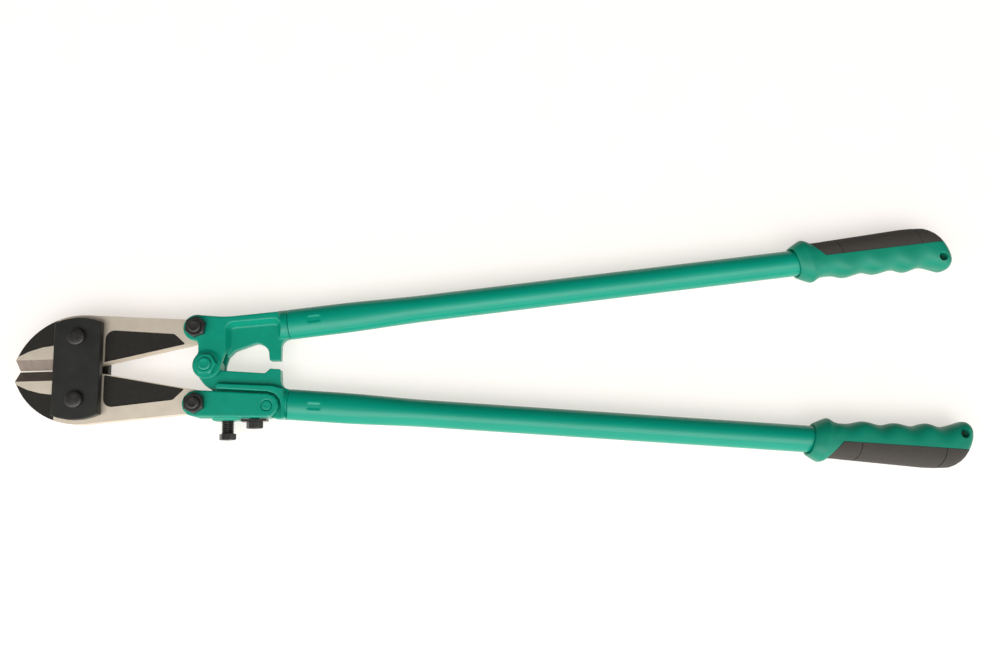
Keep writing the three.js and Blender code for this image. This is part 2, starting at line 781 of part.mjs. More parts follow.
for (const [word, side] of [
  ["upper", 1],
  ["lower", -1],
]) {
  const y = side * jawPin.y;
  const { nutFlats, nutHeight, shank } = strapBolt;
  add(tool, `${word}_strap_bolt`, domeHeadBolt(side), materials.blackOxide);
  add(
    tool,
    `${word}_strap_nut`,
    ringNut(strapPin.x, strapPin.y * side, nutFlats, nutHeight, shank + gap, -strapOuter - gap),
    materials.blackOxide,
  );
  add(tool, `${word}_jaw_bolt`, hexBolt(jawPin.x, y, jawBolt), materials.blackOxide);
  add(
    tool,
    `${word}_jaw_nut`,
    ringNut(jawPin.x, y, jawBolt.nutFlats, jawBolt.nutHeight, jawBolt.shank + gap, castHalf + gap),
    materials.blackOxide,
  );

  const handle = new THREE.Group();
  handle.position.set(handleStart.x, handleStart.y * side, 0);
  handle.rotation.z = handleAngle * side;
  tool.add(handle);
  add(handle, `${word}_tube`, tube(), materials.greenPaint);
  add(handle, `${word}_grip`, gripBody(side), materials.greenGrip);
  add(handle, `${word}_grip_pad`, gripPad(side), materials.greyRubber);
}

add(tool, "centre_bolt", hexBolt(0, 0, centreBolt, bossFace), materials.greenPaint);
add(
  tool,
  "centre_nut",
  ringNut(0, 0, centreBolt.nutFlats, centreBolt.nutHeight, centreBolt.shank + gap, bossFace + gap),
  materials.greenPaint,
);
add(
  tool,
  "link_pin",
  disc(linkPin.x, linkPin.y, linkPinRadius, -castHalf, castHalf + 0.2),
  materials.greenPaint,
);
add(
  tool,
  "adjusting_screw",
  crossScrew(screwX, tongueFrontY - screwTipGap, screwHeadY, screwRadius, screwHead),
  materials.blackOxide,
);
add(tool, "lock_washer", lockWasherPlate(), materials.blackOxide);
add(
  tool,
  "lock_bolt",
  crossScrew(
    lockX,
    tongueFrontY + lockBolt.depth - 2,
    linkFaceY - 2 * gap - 0.1 - lockWasher.thickness,
    lockBolt.shank,
    { flats: lockBolt.flats, height: lockBolt.head },
  ),
  materials.blackOxide,
);

// The origin is the middle of the footprint, on the surface that the tool lies on.
const bounds = new THREE.Box3().setFromObject(tool, true);
const centre = bounds.getCenter(new THREE.Vector3());
tool.position.set(-centre.x, -centre.y, -bounds.min.z);

const part = new THREE.Group();
part.name = "bolt_cutter";
part.add(tool);

export default part;
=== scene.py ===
"""Long-handled bolt cutters lying flat on a pale bench, from the jaws back to the grips."""

import math

import bmesh
import bpy
from mathutils import Matrix, Vector


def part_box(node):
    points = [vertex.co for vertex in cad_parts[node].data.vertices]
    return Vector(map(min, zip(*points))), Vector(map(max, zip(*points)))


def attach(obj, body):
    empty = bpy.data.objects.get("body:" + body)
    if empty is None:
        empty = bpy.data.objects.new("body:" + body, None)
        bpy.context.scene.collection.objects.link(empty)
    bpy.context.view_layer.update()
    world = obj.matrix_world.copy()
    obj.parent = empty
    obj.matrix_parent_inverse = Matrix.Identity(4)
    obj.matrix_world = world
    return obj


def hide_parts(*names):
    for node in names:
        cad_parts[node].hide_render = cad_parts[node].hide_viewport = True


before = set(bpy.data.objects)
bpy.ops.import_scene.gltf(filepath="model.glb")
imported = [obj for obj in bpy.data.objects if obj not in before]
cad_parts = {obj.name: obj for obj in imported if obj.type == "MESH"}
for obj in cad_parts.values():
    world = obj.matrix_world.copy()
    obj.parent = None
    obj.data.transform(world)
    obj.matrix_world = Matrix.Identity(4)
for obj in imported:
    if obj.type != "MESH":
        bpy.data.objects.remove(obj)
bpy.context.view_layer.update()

MM = 0.001

# ---- camera ----
# A moderately wide lens above the tool, a little towards the front of the bench.
# Every place below is measured from the centre pivot, half way through the jaws' thickness.
pivot_low, pivot_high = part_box("centre_bolt")
jaw_low, jaw_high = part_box("upper_jaw")
pivot = Vector(
    (
        (pivot_low[0] + pivot_high[0]) / 2,
        (pivot_low[1] + pivot_high[1]) / 2,
        (jaw_low[2] + jaw_high[2]) / 2,
    )
)
# How the camera sees the tool: its +Z axis in the camera's frame, its roll about that axis,
# and the centre pivot's place before the lens, in metres.
tool_up = Vector((0.0419, 0.1751, 1.0)).normalized()
roll = math.radians(1.988)
pivot_distance, pivot_left, pivot_below = 0.8576, 0.27115, 0.03334
across = (Vector((1.0, 0.0, 0.0)) - tool_up * tool_up.x).normalized()
upright = tool_up.cross(across)
tool_x = across * math.cos(roll) + upright * math.sin(roll)
tool_y = upright * math.cos(roll) - across * math.sin(roll)
turn_to_camera = Matrix((tool_x, tool_y, tool_up)).transposed()
pivot_seen = Vector((0.0, 0.0, -pivot_distance)) - across * pivot_left - upright * pivot_below
camera_place = pivot - turn_to_camera.transposed() @ pivot_seen
lens = bpy.data.cameras.new("bench_camera")
lens.sensor_width = 36.0
lens.lens = 32.4
lens.clip_end = 20.0
camera = bpy.data.objects.new("bench_camera", lens)
camera.matrix_world = Matrix.Translation(camera_place) @ turn_to_camera.transposed().to_4x4()
bpy.context.scene.collection.objects.link(camera)
bpy.context.scene.camera = camera

# ---- jaws ----
# Drop-forged chrome-vanadium steel, hardened and blackened, then surface ground on the
# faces and the cutting bevels. The sunk panels and the nose outside the ground flat keep
# their black skin.


def to_linear(hex_colour):
    """The linear colour of an sRGB hex value."""
    channels = [int(hex_colour[i : i + 2], 16) / 255 for i in (1, 3, 5)]
    linear = [c / 12.92 if c <= 0.04045 else ((c + 0.055) / 1.055) ** 2.4 for c in channels]
    return (*linear, 1.0)


def add_node(material, kind, sockets=None, **settings):
    """Adds a shader node; a socket's value is a number, a colour or another node's output."""
    node = material.node_tree.nodes.new(kind)
    for name, value in settings.items():
        setattr(node, name, value)
    for name, value in (sockets or {}).items():
        if isinstance(value, bpy.types.NodeSocket):
            material.node_tree.links.new(value, node.inputs[name])
        else:
            node.inputs[name].default_value = value
    return node


def start_material(name, **shader_values):
    """A new material: (material, its shader, the place output in metres)."""
    material = bpy.data.materials.new(name)
    material.use_nodes = True
    shader = material.node_tree.nodes["Principled BSDF"]
    for socket, value in shader_values.items():
        shader.inputs[socket.replace("_", " ")].default_value = value
    place = add_node(material, "ShaderNodeTexCoord").outputs["Object"]
    return material, shader, place


def connect(material, output, socket):
    material.node_tree.links.new(output, socket)


def object_from(work, name):
    """An object of the finished bmesh, which is freed."""
    mesh = bpy.data.meshes.new(name)
    work.to_mesh(mesh)
    work.free()
    thing = bpy.data.objects.new(name, mesh)
    bpy.context.scene.collection.objects.link(thing)
    return thing


def solid_copy(name, node):
    """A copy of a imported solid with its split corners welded, ready for modifiers."""
    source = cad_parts[node]
    work = bmesh.new()
    work.from_mesh(source.data)
    bmesh.ops.transform(work, matrix=source.matrix_world, verts=work.verts)
    bmesh.ops.remove_doubles(work, verts=work.verts, dist=0.002 * MM)
    return object_from(work, name)


def settle(thing):
    """Applies the modifiers, so that the piece is one plain mesh."""
    evaluated = thing.evaluated_get(bpy.context.evaluated_depsgraph_get())
    mesh = bpy.data.meshes.new_from_object(evaluated)
    thing.modifiers.clear()
    thing.data = mesh
    return thing


def join_flats(thing, degrees=0.6):
    """Merges the triangles of each flat face, so that edges can be rounded."""
    work = bmesh.new()
    work.from_mesh(thing.data)
    bmesh.ops.dissolve_limit(
        work, angle_limit=math.radians(degrees), verts=work.verts, edges=work.edges
    )
    work.to_mesh(thing.data)
    work.free()


def round_edges(thing, width_mm, segments=2, sharp_degrees=28.0):
    """Breaks the sharp edges, and shades so that the flat faces stay flat."""
    thing.data.shade_smooth()
    thing.data.set_sharp_from_angle(angle=math.radians(60))
    bevel = thing.modifiers.new("broken edges", "BEVEL")
    bevel.width = width_mm * MM
    bevel.segments = segments
    bevel.limit_method = "ANGLE"
    bevel.angle_limit = math.radians(sharp_degrees)
    weighted = thing.modifiers.new("flat faces", "WEIGHTED_NORMAL")
    weighted.mode = "FACE_AREA"
    weighted.weight = 100
    weighted.keep_sharp = False
    settle(thing)


def shade_smooth(thing, sharp_degrees=32.0):
    """Smooth shading, with edges sharper than the angle left crisp."""
    thing.data.shade_smooth()
    thing.data.set_sharp_from_angle(angle=math.radians(sharp_degrees))


def stretched(material, place, spacing_mm):
    """The place output scaled so that one unit of it is spacing_mm along each axis."""
    scale = tuple(1 / (s * MM) for s in spacing_mm)
    return add_node(
        material, "ShaderNodeMapping", {"Vector": place, "Scale": scale}
    ).outputs["Vector"]


def cloudy(material, place, spacing_mm, detail):
    """A soft irregular pattern from 0 to 1, about spacing_mm from patch to patch."""
    sockets = {"Vector": stretched(material, place, spacing_mm), "Scale": 1.0, "Detail": detail}
    return add_node(material, "ShaderNodeTexNoise", sockets).outputs["Fac"]


def tint(material, shader, amount, low_hex, high_hex):
    """The base colour, between two tones."""
    sockets = {0: amount, 6: to_linear(low_hex), 7: to_linear(high_hex)}
    tone = add_node(material, "ShaderNodeMix", sockets, data_type="RGBA")
    connect(material, tone.outputs[2], shader.inputs["Base Color"])


def roughen(material, shader, amount, low, high):
    """The roughness, between two values."""
    sockets = {"Value": amount, "To Min": low, "To Max": high}
    rough = add_node(material, "ShaderNodeMapRange", sockets)
    connect(material, rough.outputs["Result"], shader.inputs["Roughness"])


def relief(material, shader, height, strength, depth_mm):
    """Fine relief in the surface, too small to model."""
    sockets = {"Height": height, "Strength": strength, "Distance": depth_mm * MM}
    bump = add_node(material, "ShaderNodeBump", sockets)
    connect(material, bump.outputs["Normal"], shader.inputs["Normal"])


# Surface-ground alloy steel: bright but not mirror-like, with fine straight wheel marks.
# The real marks are 0.1 mm apart; they are drawn at 0.9 mm so that they show.
ground_steel, shader, place = start_material("ground alloy steel", Metallic=1.0)
marks = cloudy(ground_steel, place, (30, 0.9, 0.9), 3.0)
stain = cloudy(ground_steel, place, (14, 14, 14), 4.0)
tint(ground_steel, shader, stain, "#D8CCBA", "#EDE1CF")
roughen(ground_steel, shader, marks, 0.46, 0.62)
relief(ground_steel, shader, marks, 0.12, 0.1)

# Forged skin under black oxide: a dark, dull, faintly mottled brown-black.
forged_black, shader, place = start_material("black oxide forging", Metallic=0.4)
scale_marks = cloudy(forged_black, place, (3, 3, 3), 6.0)
tint(forged_black, shader, scale_marks, "#1A1915", "#2B2822")
roughen(forged_black, shader, scale_marks, 0.42, 0.62)
relief(forged_black, shader, scale_marks, 0.3, 0.2)

# The cutting bevels, ground coarser than the flats and induction hardened: duller, browner.
hardened_bevel, shader, place = start_material("hardened ground bevel", Metallic=1.0)
scratches = cloudy(hardened_bevel, place, (0.7, 18, 18), 3.0)
temper = cloudy(hardened_bevel, place, (7, 7, 7), 4.0)
tint(hardened_bevel, shader, temper, "#7C7168", "#998C82")
roughen(hardened_bevel, shader, scratches, 0.58, 0.74)
relief(hardened_bevel, shader, scratches, 0.15, 0.1)

jaw_half = (jaw_high[2] - jaw_low[2]) / 2
nose_ends = pivot.x - 139 * MM
ground_flat_reach = 11 * MM  # from the centre line to the nose's black walls
bevel_reach = 12 * MM
panel_depth = 0.3 * MM  # a face sunk deeper than this was never ground


def keeps_black_skin(face, side):
    """Sunk faces, and the walls of the nose outside the ground flat."""
    middle = face.calc_center_median()
    height = abs(middle.z - pivot.z)
    if abs(face.normal.z) > 0.9:
        return height < jaw_half - panel_depth
    outside = middle.x < nose_ends and side * middle.y > ground_flat_reach
    return outside and abs(face.normal.z) < 0.5


def is_bevel(face):
    """The sloping face beside the cutting edge."""
    slope = abs(face.normal.z)
    return 0.5 < slope < 0.97 and abs(face.calc_center_median().y) < bevel_reach


for jaw, side in (("upper_jaw", 1), ("lower_jaw", -1)):
    forging = solid_copy(jaw + "_forging", jaw)
    join_flats(forging)
    forging.data.materials.append(ground_steel)
    forging.data.materials.append(forged_black)
    forging.data.materials.append(hardened_bevel)
    work = bmesh.new()
    work.from_mesh(forging.data)
    work.normal_update()
    for face in work.faces:
        face.material_index = 1 if keeps_black_skin(face, side) else 0
        if is_bevel(face):
            face.material_index = 2
    work.to_mesh(forging.data)
    work.free()
    round_edges(forging, 0.3, sharp_degrees=24)
    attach(forging, jaw + "_body")
    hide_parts(jaw)

# ---- straps ----
# Two flat plates of medium-carbon steel, blanked, edge-rounded and blackened, that hold
# the jaws together and carry their pivots.

# Black oxide on rolled plate: satin, with a fine grain and slightly lighter rubbed patches.
black_plate, shader, place = start_material("black oxide plate", Metallic=0.35)
grain = cloudy(black_plate, place, (0.8, 0.8, 0.8), 4.0)
rubbed = cloudy(black_plate, place, (16, 16, 16), 3.0)
tint(black_plate, shader, rubbed, "#1A1A17", "#2C2C28")
roughen(black_plate, shader, rubbed, 0.4, 0.56)
relief(black_plate, shader, grain, 0.25, 0.1)

for strap in ("front_strap", "back_strap"):
    plate = solid_copy(strap + "_plate", strap)
    join_flats(plate)
    plate.data.materials.append(black_plate)
    round_edges(plate, 0.45, segments=3)
    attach(plate, "head_straps")
    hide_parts(strap)

# ---- bolts and nuts of the head ----
# Turned and blackened steel. The strap bolts have low domed heads on top and nuts below;
# the hex bolts at the jaw pivots come up from below, with the nut on top.

# Black oxide on turned steel, lightly oiled: darker and glossier than the plates.
black_fastener, shader, place = start_material("oiled black oxide", Metallic=0.6)
handling = cloudy(black_fastener, place, (4, 4, 4), 5.0)
tint(black_fastener, shader, handling, "#262523", "#4A4846")
roughen(black_fastener, shader, handling, 0.24, 0.42)


def turned(name, profile_mm, centre, sides=64):
    """A turned piece about a vertical axis; profile_mm lists (radius, height) from below up."""
    work = bmesh.new()
    rings = []
    for radius, height in profile_mm:
        if radius < 0.001:
            rings.append([work.verts.new((centre.x, centre.y, centre.z + height * MM))])
            continue
        ring = []
        for i in range(sides):
            angle = 2 * math.pi * i / sides
            x = centre.x + radius * MM * math.cos(angle)
            y = centre.y + radius * MM * math.sin(angle)
            ring.append(work.verts.new((x, y, centre.z + height * MM)))
        rings.append(ring)
    for low, high in zip(rings, rings[1:]):
        for i in range(sides):
            j = (i + 1) % sides
            corners = [low[i % len(low)], low[j % len(low)]]
            corners += [high[j % len(high)], high[i % len(high)]]
            unique = list(dict.fromkeys(corners))
            if len(unique) > 2:
                work.faces.new(unique)
    return object_from(work, name)


def hexed(name, centre, flats_mm, low_mm, high_mm, hole_mm, chamfers=(0, 1), turn_degrees=30):
    """A hexagon with a hole, turned in plan: a nut, or the shell of a bolt's head. chamfers
    says whether the corners are turned down below and above."""
    half = flats_mm / 2
    washer_face = half - 0.3  # radius of the flat inside the chamfer
    sides = 96
    turn = math.radians(turn_degrees)
    rise = math.tan(math.radians(28))

    def reach(angle):
        folded = (angle + math.pi / 6) % (math.pi / 3) - math.pi / 6
        return half / math.cos(folded)

    def ring(radius_of, height_of):
        made = []
        for i in range(sides):
            angle = 2 * math.pi * i / sides
            radius = radius_of(angle)
            x = centre.x + radius * MM * math.cos(angle + turn)
            y = centre.y + radius * MM * math.sin(angle + turn)
            made.append(work.verts.new((x, y, centre.z + height_of(angle) * MM)))
        return made

    def drop(angle):
        return max(0.0, reach(angle) - washer_face) * rise

    work = bmesh.new()
    low_drop = drop if chamfers[0] else (lambda angle: 0.0)
    high_drop = drop if chamfers[1] else (lambda angle: 0.0)
    rings = [ring(lambda a: hole_mm, lambda a: low_mm)]
    if chamfers[0]:
        rings.append(ring(lambda a: washer_face, lambda a: low_mm))
    rings.append(ring(reach, lambda a: low_mm + low_drop(a)))
    rings.append(ring(reach, lambda a: high_mm - high_drop(a)))
    if chamfers[1]:
        rings.append(ring(lambda a: washer_face, lambda a: high_mm))
    rings.append(ring(lambda a: hole_mm, lambda a: high_mm))
    rings.append(rings[0])
    for low, high in zip(rings, rings[1:]):
        for i in range(sides):
            j = (i + 1) % sides
            work.faces.new((low[i], low[j], high[j], high[i]))
    return object_from(work, name)


def joined(name, things):
    """One object from several that touch, such as a bolt's head and its shank."""
    work = bmesh.new()
    for thing in things:
        work.from_mesh(thing.data)
        bpy.data.objects.remove(thing)
    return object_from(work, name)


def finish_fastener(thing, material, body, node, edge_mm=0.15):
    thing.data.materials.append(material)
    if edge_mm:
        round_edges(thing, edge_mm, segments=2, sharp_degrees=25)
    else:
        shade_smooth(thing, 28)
    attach(thing, body)
    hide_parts(node)


def axis_of(node):
    """The vertical axis through a CAD node, at the height of the pivot."""
    low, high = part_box(node)
    return Vector(((low[0] + high[0]) / 2, (low[1] + high[1]) / 2, pivot.z))


def heights_of(node):
    low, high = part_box(node)
    return (low[2] - pivot.z) / MM, (high[2] - pivot.z) / MM


strap_nut_flats, jaw_nut_flats, painted_nut_flats = 16, 17, 17.6
nut_turns = {"upper": 50, "lower": 0}  # degrees in plan, as they happened to be tightened

for side in ("upper", "lower"):
    bolt_node = side + "_strap_bolt"
    low_mm, high_mm = heights_of(bolt_node)
    under_head = heights_of("front_strap")[1] + 0.3
    dome = [
        (0, low_mm),
        (4.9, low_mm),
        (5.5, low_mm + 0.6),
        (5.5, under_head),
        (7.5, under_head),
        (7.7, under_head + 0.25),
        (7.7, high_mm - 1.5),
        (7.55, high_mm - 0.95),
        (7.1, high_mm - 0.55),
        (6.4, high_mm - 0.34),
        (4.4, high_mm - 0.12),
        (2.2, high_mm - 0.03),
        (0, high_mm),
    ]
    bolt = turned(side + "_dome_bolt", dome, axis_of(bolt_node))
    finish_fastener(bolt, black_fastener, "head_straps", bolt_node, 0)
    nut_node = side + "_strap_nut"
    nut = hexed(
        side + "_dome_bolt_nut",
        axis_of(nut_node),
        strap_nut_flats,
        *heights_of(nut_node),
        5.8,
        (1, 0),
    )
    finish_fastener(nut, black_fastener, "head_straps", nut_node)


def pivot_bolt(name, node, nut_node):
    """A hex bolt from below; its end stands a little out of the nut, with a turned lead."""
    centre = axis_of(node)
    low_mm, high_mm = heights_of(node)
    nut_low, nut_high = heights_of(nut_node)
    head_top = -nut_low
    head = hexed(name + "_head", centre, jaw_nut_flats, low_mm, head_top, 3.0, (1, 0))
    shank = turned(
        name + "_shank",
        [
            (0, low_mm + 0.8),
            (3.4, low_mm + 0.8),
            (4.2, head_top - 1.0),
            (6, head_top - 1.0),
            (6, high_mm - 1.0),
            (5.7, high_mm - 0.5),
            (5.1, high_mm - 0.12),
            (4.6, high_mm),
            (3.6, high_mm),
            (3.3, high_mm - 0.3),
            (0, high_mm - 0.45),
        ],
        centre,
    )
    return joined(name, [head, shank])


for side, body in (("upper", "upper_handle"), ("lower", "link_body")):
    bolt_node, nut_node = side + "_jaw_bolt", side + "_jaw_nut"
    bolt = pivot_bolt(side + "_pivot_bolt", bolt_node, nut_node)
    finish_fastener(bolt, black_fastener, body, bolt_node, 0)
    nut = hexed(
        side + "_pivot_nut",
        axis_of(nut_node),
        jaw_nut_flats,
        *heights_of(nut_node),
        6.3,
        turn_degrees=nut_turns[side],
    )
    finish_fastener(nut, black_fastener, body, nut_node)

# ---- castings and adjusting link ----
# Malleable cast iron, fettled and sprayed with thick gloss enamel, so every edge is soft
# and every inner corner has a fillet. The centre bolt and nut are painted with them.

enamel_tone, enamel_deep = "#009479", "#00866C"
casting_grid_mm = 0.55  # the finer the grid, the tighter the rounded edges

# Gloss enamel on cast iron: a deep sea green with the long-wave unevenness of thick paint.
enamel, shader, place = start_material(
    "gloss enamel on cast iron", Roughness=0.24, Specular_IOR_Level=0.35
)
sag = cloudy(enamel, place, (9, 9, 9), 2.0)
orange_peel = cloudy(enamel, place, (1.6, 1.6, 1.6), 2.0)
tint(enamel, shader, sag, enamel_deep, enamel_tone)
unevenness = add_node(enamel, "ShaderNodeMath", {0: sag, 1: orange_peel}, operation="ADD")
relief(enamel, shader, unevenness.outputs["Value"], 0.25, 0.25)


def cast_rounded(name, node, voxel_mm, passes, keep):
    """A casting from its solid: rebuilt on a fine grid and relaxed, so that its edges and
    inner corners come out round, then thinned to the faces it needs."""
    thing = solid_copy(name, node)
    remesh = thing.modifiers.new("cast skin", "REMESH")
    remesh.mode = "VOXEL"
    remesh.voxel_size = voxel_mm * MM
    relax = thing.modifiers.new("soft edges", "SMOOTH")
    relax.factor = 0.5
    relax.iterations = passes
    thin = thing.modifiers.new("fewer faces", "DECIMATE")
    thin.ratio = keep
    settle(thing)
    thing.data.shade_smooth()
    return thing


for node, body in (
    ("upper_casting", "upper_handle"),
    ("lower_casting", "lower_handle"),
    ("adjusting_link", "link_body"),
):
    casting = cast_rounded(node + "_enamelled", node, casting_grid_mm, 9, 0.45)
    casting.data.materials.clear()
    casting.data.materials.append(enamel)
    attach(casting, body)
    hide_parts(node)

painted_bolt = pivot_bolt("painted_centre_bolt", "centre_bolt", "centre_nut")
finish_fastener(painted_bolt, enamel, "upper_handle", "centre_bolt", 0)
painted_nut = hexed(
    "painted_centre_nut", axis_of("centre_nut"), painted_nut_flats, *heights_of("centre_nut"), 6.3
)
finish_fastener(painted_nut, enamel, "upper_handle", "centre_nut", 0.35)

pin_low, pin_high = heights_of("link_pin")
riveted_pin = turned(
    "riveted_link_pin",
    [
        (0, pin_low),
        (4.2, pin_low),
        (4.5, pin_low + 0.3),
        (4.5, pin_high - 0.3),
        (4.4, pin_high - 0.1),
        (4.1, pin_high),
        (1.3, pin_high),
        (0, pin_high - 0.25),
    ],
    axis_of("link_pin"),
    48,
)
finish_fastener(riveted_pin, enamel, "link_body", "link_pin", 0)

# ---- adjusting screw, lock bolt and its washer ----
# Blackened machine screws. The adjusting screw pushes the lower casting's tongue away from
# the link; the lock bolt pulls it back and clamps it through a plate washer.


def cross_screw(name, node, tip_y_mm, under_head_mm, radius_mm, pitch_mm, flats_mm, head_mm):
    """A screw along +Y with a real helical thread and a hex head with a dished top."""
    low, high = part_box(node)
    x0 = (low[0] + high[0]) / 2
    sides, rows_per_turn = 28, 6
    depth = 0.6 * pitch_mm
    rows = int((tip_y_mm - under_head_mm) / pitch_mm * rows_per_turn)
    work = bmesh.new()
    rings = []
    for row in range(rows + 1):
        along = under_head_mm + (tip_y_mm - under_head_mm) * row / rows
        lead = min(1.0, (tip_y_mm - along) / 1.2 + 0.35)
        ring = []
        for i in range(sides):
            angle = 2 * math.pi * i / sides
            turn = (along / pitch_mm - i / sides) % 1.0
            groove = depth * (1 - abs(2 * turn - 1)) ** 1.2
            radius = (radius_mm - groove) * (0.82 + 0.18 * lead)
            x = x0 + radius * MM * math.cos(angle)
            z = pivot.z + radius * MM * math.sin(angle)
            ring.append(work.verts.new((x, pivot.y + along * MM, z)))
        rings.append(ring)
    for one, two in zip(rings, rings[1:]):
        for i in range(sides):
            j = (i + 1) % sides
            work.faces.new((one[i], two[i], two[j], one[j]))
    work.faces.new(rings[0])
    work.faces.new(list(reversed(rings[-1])))
    thread = object_from(work, name + "_thread")
    head = hexed(name + "_head", Vector((0, 0, 0)), flats_mm, 0, head_mm, 2.2)
    dish = head_mm - 0.9
    cap = turned(
        name + "_cap", [(0, 0.2), (2.6, 0.2), (2.6, dish), (0, dish)], Vector((0, 0, 0)), 24
    )
    top = joined(name + "_top", [head, cap])
    lay = Matrix.Translation((x0, pivot.y + (under_head_mm + 0.01) * MM, pivot.z))
    top.data.transform(lay @ Matrix.Rotation(math.radians(90), 4, "X"))
    return joined(name, [thread, top])


screw_flats_mm = 13.4
screw_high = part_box("adjusting_screw")[1]
adjusting = cross_screw(
    "adjusting_screw_threaded",
    "adjusting_screw",
    (screw_high[1] - pivot.y) / MM,
    under_head_mm=-63.4,
    radius_mm=5.8,
    pitch_mm=1.75,
    flats_mm=screw_flats_mm,
    head_mm=5.6,
)
finish_fastener(
    adjusting, black_fastener, "adjusting_screw_body", "adjusting_screw", 0
)
lock_low, lock_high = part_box("lock_bolt")
lock_head_mm = 6.2
locking = cross_screw(
    "lock_bolt_threaded",
    "lock_bolt",
    (lock_high[1] - pivot.y) / MM,
    under_head_mm=(lock_low[1] - pivot.y) / MM + lock_head_mm,
    radius_mm=4.0,
    pitch_mm=1.25,
    flats_mm=screw_flats_mm,
    head_mm=lock_head_mm,
)
finish_fastener(locking, black_fastener, "lock_bolt_body", "lock_bolt", 0)
washer = solid_copy("plate_washer", "lock_washer")
join_flats(washer)
washer.data.materials.append(black_fastener)
round_edges(washer, 0.4, segments=3)
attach(washer, "link_body")
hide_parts("lock_washer")

# ---- handle tubes ----
# Drawn steel tube, 25 mm across, pressed oval over the castings' spigots, crimped there
# with one small dent, and powder coated in the castings' green.

handle_angle = math.radians(5.6)
handle_start = Vector((71.01, 37.485))
tube_mouth = 2.2  # along the handle, like every u below
mouth_rounding = 0.7
tube_radius, tube_wall = 12.7, 2.0
oval_half_width, oval_half_height = 14.3, 10.9
oval_end, round_start = 48.2, 134.2
tube_end = 600.0
dent = {"u": 27.0, "v": 1.0, "half_length": 5.5, "half_width": 2.6, "depth": 0.9}

# Powder coat on steel tube: the same green, smoother and a little softer than the enamel.
powder_coat, shader, place = start_material(
    "powder coat on steel tube", Roughness=0.26, Specular_IOR_Level=0.35
)
coat_wave = cloudy(powder_coat, place, (2.4, 2.4, 2.4), 2.0)
coat_shift = cloudy(powder_coat, place, (60, 12, 12), 2.0)
tint(powder_coat, shader, coat_shift, "#008A71", "#00987D")
relief(powder_coat, shader, coat_wave, 0.15, 0.15)


def handle_point(side, u, v, z):
    """A point of a handle's own frame: u along the tube, v away from the other handle."""
    x = handle_start.x + u * math.cos(handle_angle) - v * math.sin(handle_angle)
    y = handle_start.y + u * math.sin(handle_angle) + v * math.cos(handle_angle)
    return Vector((pivot.x + x * MM, pivot.y + side * y * MM, pivot.z + z * MM))


def skin_rings(work, rings, side, closed=True):
    """Faces between rings of equal length; closed joins the last ring to the first."""
    pairs = list(zip(rings, rings[1:]))
    if closed:
        pairs.append((rings[-1], rings[0]))
    count = len(rings[0])
    for one, two in pairs:
        for i in range(count):
            j = (i + 1) % count
            corners = (one[i], one[j], two[j], two[i])
            work.faces.new(corners if side > 0 else tuple(reversed(corners)))


def ease(value):
    """0 below 0, 1 above 1, and a smooth rise between."""
    value = min(1.0, max(0.0, value))
    return value * value * (3 - 2 * value)


def tube_half(u):
    """(half width, half height) of the tube at u."""
    share = 1 - ease((u - oval_end) / (round_start - oval_end))
    wide = tube_radius + share * (oval_half_width - tube_radius)
    high = tube_radius + share * (oval_half_height - tube_radius)
    return wide, high


def drawn_tube(side):
    """The tube's outer skin from mouth to end, then its bore back to the mouth."""
    first = tube_mouth + 0.3
    stations = [first, tube_mouth + 0.6, tube_mouth + 1.2]
    stations += [4.0 + 1.0 * i for i in range(43)]
    stations += [48 + 4.0 * i for i in range(1, 23)]
    stations += [150 + 30.0 * i for i in range(15)]
    stations += [tube_end]
    sides = 96
    work = bmesh.new()
    rings = []
    for u in stations:
        wide, high = tube_half(u)
        shrink = 0.35 * max(0.0, 1 - (u - tube_mouth - 0.3) / mouth_rounding)
        ring = []
        for i in range(sides):
            angle = 2 * math.pi * i / sides
            v = (wide - shrink) * math.cos(angle)
            z = (high - shrink) * math.sin(angle)
            if z > 0:
                along = ease((dent["half_length"] + 1.2 - abs(u - dent["u"])) / 1.8)
                over = ease((dent["half_width"] + 1.0 - abs(v - dent["v"])) / 1.8)
                z -= dent["depth"] * along * over
            ring.append(work.verts.new(handle_point(side, u, v, z)))
        rings.append(ring)
    for u in (tube_end, 60.0, first):
        wide, high = tube_half(u)
        ring = []
        for i in range(sides):
            angle = 2 * math.pi * i / sides
            v = (wide - tube_wall) * math.cos(angle)
            z = (high - tube_wall) * math.sin(angle)
            ring.append(work.verts.new(handle_point(side, u, v, z)))
        rings.append(ring)
    skin_rings(work, rings, -side)
    return object_from(work, "tube")


for name, side in (("upper", 1), ("lower", -1)):
    tube = drawn_tube(side)
    tube.name = name + "_powder_coated_tube"
    tube.data.materials.append(powder_coat)
    shade_smooth(tube, 40)
    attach(tube, name + "_handle")
    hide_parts(name + "_tube")

# ---- grips ----
# Hard green plastic moulded over the tube end, with a flared guard, finger scallops on the
# inner side and a hanging hole; a soft grey pad is moulded into the outer side.

pad_seam, pad_front, pad_slant = 1.2, 510.5, 10.0
seam_gap = 0.35
hole_u, hole_v, hole_radius, hole_flare = 635.8, -14.1, 4.0, 8.0
grip_half_height = 16.0
first_finger, finger_pitch = 529.5, 30.3
butt_start, butt_length, butt_end = 635.6, 10.8, 646.4
outer_squareness = 2.7  # 2 is an ellipse, and more is squarer
pad_grooves, groove_depth = (537.5, 617.5), 0.7
guard_lean, pad_curl = 0.17, 0.017

# Satin moulded polypropylene: a slightly greyer green with a fine spark-eroded texture.
grip_plastic, shader, place = start_material(
    "satin moulded polypropylene", Roughness=0.4, Specular_IOR_Level=0.3
)
spark = cloudy(grip_plastic, place, (0.7, 0.7, 0.7), 3.0)
flow = cloudy(grip_plastic, place, (22, 22, 22), 2.0)
tint(grip_plastic, shader, flow, "#027A60", "#0A8B70")
relief(grip_plastic, shader, spark, 0.3, 0.1)

